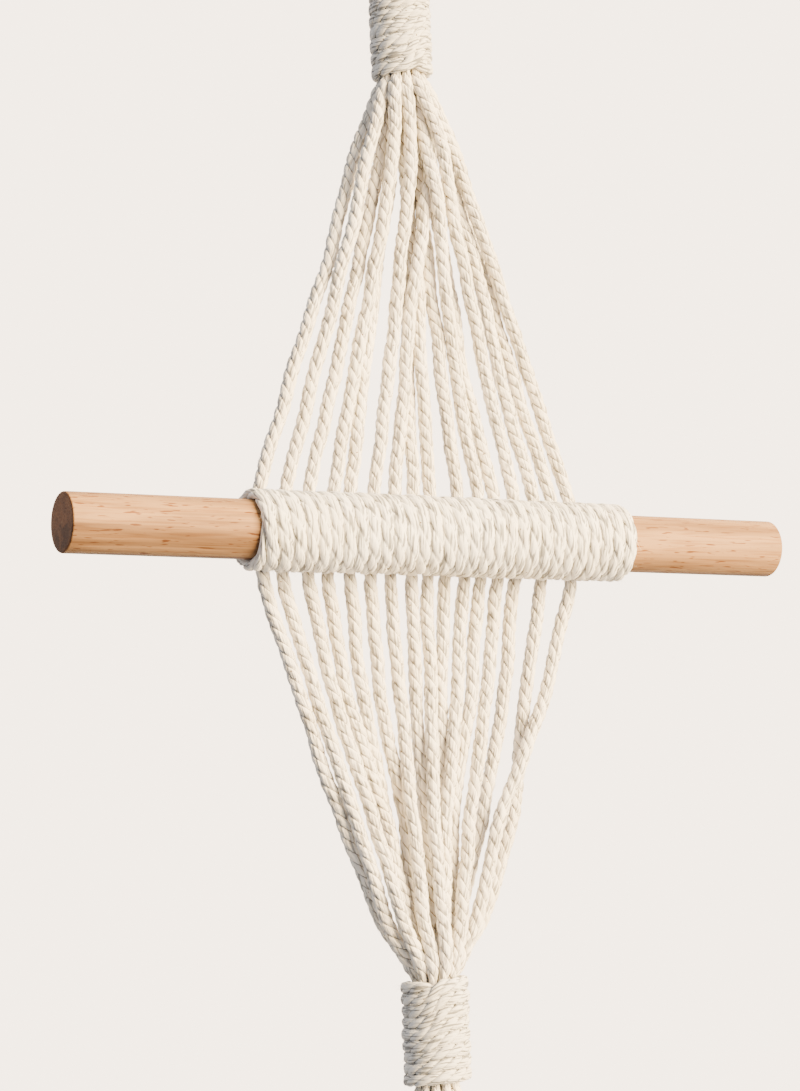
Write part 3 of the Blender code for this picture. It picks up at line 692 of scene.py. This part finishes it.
class MACRAME_OT_stage(bpy.types.Operator):
    """Set the camera, the soft lights and the pale floor"""
    bl_idname = "macrame.stage"
    bl_label = "Set the stage"

    # The camera, from the dowel's middle: metres, degrees, and the lens and sensor in millimetres.
    camera_place = (-0.5407, -0.9769, -0.1531)
    camera_yaw = 28.26
    camera_pitch = 7.66
    camera_roll = -2.01
    camera_lens = 99.3
    camera_sensor = 36.0
    # The large light, from the dowel's middle, and its side, in metres.
    key_place = (1.45, -2.52, 0.62)
    key_size = 2.2
    # The surroundings: the middle of the bright side, the cosines from it at which it starts and is full, the
    # heights, as sines, at which the dim side starts to darken and is darkest, and its strength there.
    bright_from = (0.561, 0.801, 0.208)
    bright_range = (0.5, 0.93)
    below_range = (0.2, -0.5)
    below_strength = 0.25
    # The floor: half its side, and how far below the tassel it lies, in metres.
    floor_half = 3.0
    floor_drop = 5.0

    def execute(self, context):
        """Make the camera first, then the lights, the surroundings and the floor."""
        settings = context.scene.macrame_stage
        middle = np.array([0.0, DOWEL_Y, DOWEL_Z])
        camera = bpy.data.objects.new("camera", bpy.data.cameras.new("camera"))
        camera.data.lens = self.camera_lens
        camera.data.sensor_width = self.camera_sensor
        camera.matrix_world = (Matrix.Translation(middle + np.array(self.camera_place))
                               @ Matrix.Rotation(-math.radians(self.camera_yaw), 4, "Z")
                               @ Matrix.Rotation(math.radians(90 + self.camera_pitch), 4, "X")
                               @ Matrix.Rotation(math.radians(self.camera_roll), 4, "Z"))
        context.scene.collection.objects.link(camera)
        context.scene.camera = camera

        light = bpy.data.lights.new("key light", "AREA")
        light.size = self.key_size
        light.energy = settings.key_power
        light.color = settings.key_color
        key = bpy.data.objects.new("key light", light)
        key.location = middle + np.array(self.key_place)
        toward = np.array(self.key_place) / np.linalg.norm(self.key_place)
        right = np.cross((0.0, 0.0, 1.0), toward)
        right /= np.linalg.norm(right)
        away = Matrix(np.column_stack([right, np.cross(toward, right), toward]).tolist())
        key.rotation_euler = away.to_euler()
        context.scene.collection.objects.link(key)

        world = bpy.data.worlds.new("pale surroundings")
        world.use_nodes = True
        tree = world.node_tree
        direction = add_node(tree, "ShaderNodeTexCoord").outputs["Generated"]
        share = soft_side(tree, direction, self.bright_from, *self.bright_range)
        below = soft_side(tree, direction, (0.0, 0.0, 1.0), *self.below_range)
        dark = tuple(self.below_strength * c for c in settings.dim)
        dim = add_node(tree, "ShaderNodeMix", MIXED, {"Factor": below, "A": settings.dim, "B": dark})
        bright = tuple(settings.bright_strength * c for c in settings.bright)
        sky = add_node(tree, "ShaderNodeMix", MIXED, {
            "Factor": share, "A": dim.outputs["Result"], "B": bright})
        tree.links.new(sky.outputs["Result"], tree.nodes["Background"].inputs["Color"])
        context.scene.world = world

        floor_mesh = bpy.data.meshes.new("floor")
        half, level = self.floor_half, TASSEL_END - self.floor_drop
        floor_mesh.from_pydata([(-half, -half, level), (half, -half, level), (half, half, level),
                                (-half, half, level)], [], [(0, 1, 2, 3)])
        painted, _, shader = blank_material("matt painted floor", roughness=0.8)
        shader.inputs["Base Color"].default_value = (*settings.floor, 1.0)
        floor_mesh.materials.append(painted)
        floor = bpy.data.objects.new("floor", floor_mesh)
        context.scene.collection.objects.link(floor)
        return {"FINISHED"}


class MACRAME_OT_dowel(bpy.types.Operator):
    """Turn the beech dowel"""
    bl_idname = "macrame.dowel"
    bl_label = "Turn the dowel"

    def execute(self, context):
        """A profile turned about the dowel's axis: flat ends, quarter-round edges and a straight side."""
        settings = context.scene.macrame_dowel
        # Points round the rod, along its side, along an end's radius and along an edge's quarter round.
        around, rows, face_rows, edge_rows = 96, 40, 8, 6
        edge, radius = settings.edge, DOWEL_RADIUS
        left, right = DOWEL_LEFT, DOWEL_RIGHT
        quarter = np.linspace(0.0, math.pi / 2, edge_rows)
        face = np.linspace(0.06, 1.0, face_rows + 1) * (radius - edge)
        r = np.concatenate([face[:-1], radius - edge + edge * np.sin(quarter)])
        x = np.concatenate([np.full(face_rows, left), left + edge - edge * np.cos(quarter)])
        middle_x = np.linspace(left + edge, right - edge, rows + 2)[1:-1]
        r = np.concatenate([r, np.full(rows, radius), r[::-1]])
        x = np.concatenate([x, middle_x, right - (x - left)[::-1]])
        angle = TURN * np.arange(around) / around
        grid = np.stack([np.broadcast_to(x[:, None], (len(x), around)), DOWEL_Y + r[:, None] * np.cos(angle),
                         DOWEL_Z + r[:, None] * np.sin(angle)], axis=-1)
        on_end = np.where((x < left + 0.3 * edge) | (x > right - 0.3 * edge), 1.0, 0.0)
        crown = np.broadcast_to(on_end[:, None], (len(x), around))
        run = np.append(angle, TURN) * radius
        uv = np.stack(np.broadcast_arrays(run[None, :], x[:, None]), axis=-1)
        material = oiled_beech(tuple(settings.light), tuple(settings.dark), tuple(settings.fleck))
        rod = put_piece("beech_dowel", [shell(grid, crown, uv)], material, "dowel_wood", "dowel")
        rod.data.set_sharp_from_angle(angle=math.radians(50))
        return {"FINISHED"}


class MACRAME_OT_cords(bpy.types.Operator):
    """Lay the eight folded cords"""
    bl_idname = "macrame.cords"
    bl_label = "Lay the cords"

    # How far from a knot and from the dowel a cord sways freely, and the share by which it is flattened
    # behind the dowel.
    free_of_knot = 30 * MM
    free_of_dowel = 20 * MM
    flattened = 0.16

    def execute(self, context):
        """Settle the strands and lay a rope along each folded cord's middle line."""
        settings = context.scene.macrame_cord
        material = cotton_rope("natural cotton rope", tuple(settings.color), tuple(settings.shade),
                               threads=0.45, relief=0.5 * MM, seed=0.0)
        z = np.linspace(TASSEL_END, LOOP_SPRING_Z, int(round((LOOP_SPRING_Z - TASSEL_END) / LEVEL_STEP)) + 1)
        routes = settle(z)
        step = settings.lay / ROWS_PER_LAY
        ropes = []
        for number, (left, right, ring, across) in enumerate(CORDS, start=1):
            path = folded_path(routes[left - 1], routes[right - 1], z, ring, across)
            path, along = even_path(path, step)
            path = softened(path, reach=4)
            from_dowel = np.abs(path[:, 2] - DOWEL_Z)
            sway = smoothstep(0.0, self.free_of_knot, outside_knots(path[:, 2]))
            sway *= smoothstep(0.0, self.free_of_dowel, from_dowel - DOWEL_RADIUS)
            path[:, 0] += sway * wander(along, 50 + number, length=34 * MM, amount=0.35 * MM)
            path[:, 1] += sway * wander(along, 70 + number, length=41 * MM, amount=0.3 * MM)
            drift = wander(along, 30 + number, length=60 * MM, amount=0.02)
            radius = drawn_radius(path[:, 2]) * (1.0 + drift)
            bound = 1.0 - self.flattened * (1.0 - smoothstep(DOWEL_RADIUS, 2 * DOWEL_RADIUS, from_dowel))
            rope = laid_cord(path, along, radius, radius * bound, np.array([0.0, 1.0, 0.0]), settings.lay,
                             settings.ply, pressed=2.0, worn=0.0, seed=number)
            put_piece(f"folded_cord_{number}", [shell(*rope)], material, "cord_cotton", f"loop_{number}",
                      f"strand_{left}", f"strand_{right}")
            ropes.append(rope[0])
        put_piece("cord_fuzz", [loose_fibres(ropes, count=4200, seed=5)], material, "cord_cotton")
        return {"FINISHED"}


class MACRAME_OT_knots(bpy.types.Operator):
    """Wind the two wrapped knots"""
    bl_idname = "macrame.knots"
    bl_label = "Wind the knots"

    rows = (
        # name, node, lowest and highest place, start angle in degrees from +X, tilt in degrees, seed
        ("upper_knot", "upper_wrap", UPPER_KNOT_BOTTOM, UPPER_KNOT_TOP, 243.0, 5.0, 3),
        ("lower_knot", "lower_wrap", LOWER_KNOT_BOTTOM + 2.2 * MM, LOWER_KNOT_TOP, 51.0, 5.0, 4),
    )

    # A turn's radius, by which its angle gives a distance, its width as a multiple of its spacing, the least
    # spacing that is drawn, the angle over which the rope opens and closes, and how far a tucked end is drawn
    # in and along.
    turn_radius = 10.0 * MM
    fullness = 1.08
    least_spacing = 2.4 * MM
    opening = math.radians(60)
    tuck_in = 3.0 * MM
    tuck_along = 3.8 * MM

    def execute(self, context):
        """Each knot is one rope wound round the strands: its middle line is a circle about the knots' axis
        that climbs a cord's width in a turn, with each end drawn in under the next turn."""
        rope, wound = context.scene.macrame_cord, context.scene.macrame_winding
        # The knots' colour carries painted shade.
        material = cotton_rope("bleached cotton rope on the knots", tuple(rope.knot_color_with_shade),
                               tuple(rope.wrap_shade), threads=0.30, relief=0.7 * MM, seed=3.0)
        ropes = []
        for name, node, bottom, top, start, tilt, seed in self.rows:
            diameter = wound.upper_diameter if node == "upper_wrap" else wound.lower_diameter
            t, height, width = winding(top - bottom, 5.0 * MM, wound.knot_turns, self.opening,
                                       self.opening, seed)
            tuck = tucked(t, reach=1.0)
            toward = np.where(t < t[-1] / 2, 1.0, -1.0)
            angle = math.radians(start) + t
            drift = wander(t * self.turn_radius, seed + 5, length=40 * MM, amount=0.25 * MM)
            radius = diameter / 2 - wound.thickness / 2 + drift - self.tuck_in * tuck
            x, y = radius * np.cos(angle), radius * np.sin(angle)
            z = bottom + height + toward * tuck * self.tuck_along + math.tan(math.radians(tilt)) * x
            lines = np.column_stack([x, y, z, np.maximum(width, self.least_spacing) / 2 * self.fullness,
                                     wound.thickness / 2 * (1.0 - 0.25 * tuck)])
            lines, along = even_path(lines, rope.lay / ROWS_PER_LAY)
            laid = laid_cord(lines[:, 0:3], along, lines[:, 3], lines[:, 4], np.array([0.0, 0.0, 1.0]),
                             rope.lay, rope.wrap_ply, pressed=2.8, worn=0.2, seed=seed * 11)
            put_piece(name, [shell(*laid)], material, "wrap_cotton", node)
            ropes.append(laid[0])
        put_piece("knot_fuzz", [loose_fibres(ropes, count=900, seed=6)], material, "wrap_cotton")
        return {"FINISHED"}


class MACRAME_OT_binding(bpy.types.Operator):
    """Bind the strands to the dowel"""
    bl_idname = "macrame.binding"
    bl_label = "Bind the dowel"

    # Where the winding starts, at what angle from the back the strands go in, over what angle they part the
    # turns, between what angles the turns climb onto them, and over what angles the rope opens and closes.
    start_angle = math.radians(-6)
    entry_angle = math.radians(32)
    entry_spread = math.radians(17)
    climb = (math.radians(20), math.radians(44))
    opening = 1.9
    closing = 1.2
    # A turn's radius, the turns' usual spacing, the least and the most, half the room that a strand takes
    # between them, and how far along a tucked end is drawn.
    turn_radius = 15.0 * MM
    spacing = 5.2 * MM
    spacing_limits = (1.2 * MM, 6.2 * MM)
    half_strand = 1.9 * MM
    tuck_along = 1.2 * MM

    def execute(self, context):
        """One rope wound round the dowel, by an angle that runs from the front downwards. Behind, the turns
        ride over the strands. Where a strand goes in, above and below, it parts them and they are squeezed.
        A turn is 1.08 times as wide as its spacing, so that turns touch."""
        rope, wound = context.scene.macrame_cord, context.scene.macrame_winding
        material = cotton_rope("bleached cotton rope on the dowel", tuple(rope.wrap_color),
                               tuple(rope.wrap_shade), threads=0.36, relief=0.4 * MM, seed=7.0)
        t, along_dowel, _ = winding(WRAP_RIGHT - WRAP_LEFT, 5.3 * MM, wound.binding_turns, self.opening,
                                    self.closing, seed=21)
        x = WRAP_LEFT + along_dowel
        angle = self.start_angle + t
        behind = (angle % TURN) - math.pi

        # Where the turns are parted: their places between the strands, by the order that they keep behind.
        strands = np.array([(row[0] + row[4]) / 2 for row in STRANDS]) * MM
        turn_number = np.floor(angle / TURN).astype(int)
        at_back = np.array([np.interp(math.pi + TURN * n, angle, x) for n in range(turn_number.max() + 1)])
        gap = np.searchsorted(strands, at_back)
        walls = np.concatenate([[WRAP_LEFT], strands, [WRAP_RIGHT]])
        room = np.concatenate([[0.0], np.full(len(strands), self.half_strand), [0.0]])
        parted = np.empty_like(at_back)
        for index, where in enumerate(gap):
            fellows = np.flatnonzero(gap == where)
            low, high = walls[where] + room[where], walls[where + 1] - room[where + 1]
            parted[index] = low + (high - low) * (index - fellows[0] + 0.5) / len(fellows)
        shape = np.exp(-((np.abs(behind) - self.entry_angle) / self.entry_spread) ** 2)
        goal = parted[np.clip(turn_number, 0, len(parted) - 1)]
        x = x + shape * (goal - x)

        # The rope is thinner where it starts and ends, down to 0.3 of its thickness, and up to 1.25 times as
        # thick where its turns are squeezed together.
        steps = STEPS_PER_TURN
        spacing = np.full_like(x, self.spacing)
        spacing[steps:-steps] = (x[2 * steps:] - x[:-2 * steps]) / 2
        opened = smoothstep(0.0, self.opening, t) * smoothstep(0.0, self.closing, t[-1] - t)
        spacing = np.clip(spacing * opened, *self.spacing_limits)
        thick = wound.thickness / 2 * np.clip((self.spacing / spacing) ** 0.35, 1.0, 1.25)
        thick = thick * (0.3 + 0.7 * smoothstep(0.0, 0.8, opened))

        # How far behind the dowel a turn rides: down on the wood, or up over the nearest strand.
        base = DOWEL_RADIUS + np.minimum(thick, wound.thickness / 2)
        to_strand = np.abs(x[:, None] - strands[None, :]).min(axis=1)
        touch = CORD_RADIUS + 0.9 * wound.thickness / 2
        over = np.sqrt(np.clip(touch ** 2 - to_strand ** 2, 0.0, None))
        lifted = np.where(to_strand < touch, (over - DOWEL_Y) / np.cos(np.clip(behind, -1.0, 1.0)), base)
        riding = 1.0 - smoothstep(*self.climb, np.abs(behind))
        radius = base + riding * np.maximum(lifted - base, 0.0)
        toward = np.where(t < t[-1] / 2, 1.0, -1.0)
        x = x + toward * tucked(t, reach=0.5) * self.tuck_along
        radius = radius + wander(t * self.turn_radius, 91, length=60 * MM, amount=0.2 * MM)
        lines = np.column_stack([x, DOWEL_Y - radius * np.cos(angle), DOWEL_Z - radius * np.sin(angle)])
        lines = softened(np.column_stack([lines, spacing * 0.54, thick]), reach=5)
        lines, along = even_path(lines, rope.wrap_lay / ROWS_PER_LAY)
        laid = laid_cord(lines[:, 0:3], along, lines[:, 3], lines[:, 4], np.array([1.0, 0.0, 0.0]),
                         rope.wrap_lay, rope.wrap_ply, pressed=2.8, worn=0.3, seed=9)
        put_piece("dowel_binding", [shell(*laid)], material, "wrap_cotton", "dowel_wrap")
        put_piece("binding_fuzz", [loose_fibres([laid[0]], count=2400, seed=7)], material, "wrap_cotton")
        return {"FINISHED"}


class MACRAME_PT_panel(bpy.types.Panel):
    """The hanging's settings and the steps that build it"""
    bl_label = "Macrame wall hanging"
    bl_idname = "MACRAME_PT_panel"
    bl_space_type = "VIEW_3D"
    bl_region_type = "UI"
    bl_category = "Macrame"

    def draw(self, context):
        """List the settings, then the operators in order."""
        for name, group in SETTINGS:
            box = self.layout.box()
            for prop in group.__annotations__:
                box.prop(getattr(context.scene, name), prop)
        for operator in OPERATORS:
            self.layout.operator(operator.bl_idname)


SETTINGS = (
    ("macrame_cord", CordSettings),
    ("macrame_winding", WindingSettings),
    ("macrame_dowel", DowelSettings),
    ("macrame_stage", StageSettings),
)
OPERATORS = (MACRAME_OT_stage, MACRAME_OT_dowel, MACRAME_OT_cords, MACRAME_OT_knots, MACRAME_OT_binding)


def register():
    """Register the settings, the operators and the panel."""
    for name, group in SETTINGS:
        bpy.utils.register_class(group)
        setattr(bpy.types.Scene, name, bpy.props.PointerProperty(type=group))
    for cls in (*OPERATORS, MACRAME_PT_panel):
        bpy.utils.register_class(cls)


def unregister():
    """Take everything out again."""
    for cls in (MACRAME_PT_panel, *reversed(OPERATORS)):
        bpy.utils.unregister_class(cls)
    for name, group in reversed(SETTINGS):
        delattr(bpy.types.Scene, name)
        bpy.utils.unregister_class(group)


def main():
    """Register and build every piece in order."""
    register()
    bpy.ops.macrame.stage()
    bpy.ops.macrame.dowel()
    bpy.ops.macrame.cords()
    bpy.ops.macrame.knots()
    bpy.ops.macrame.binding()


if __name__ == "__main__":
    main()
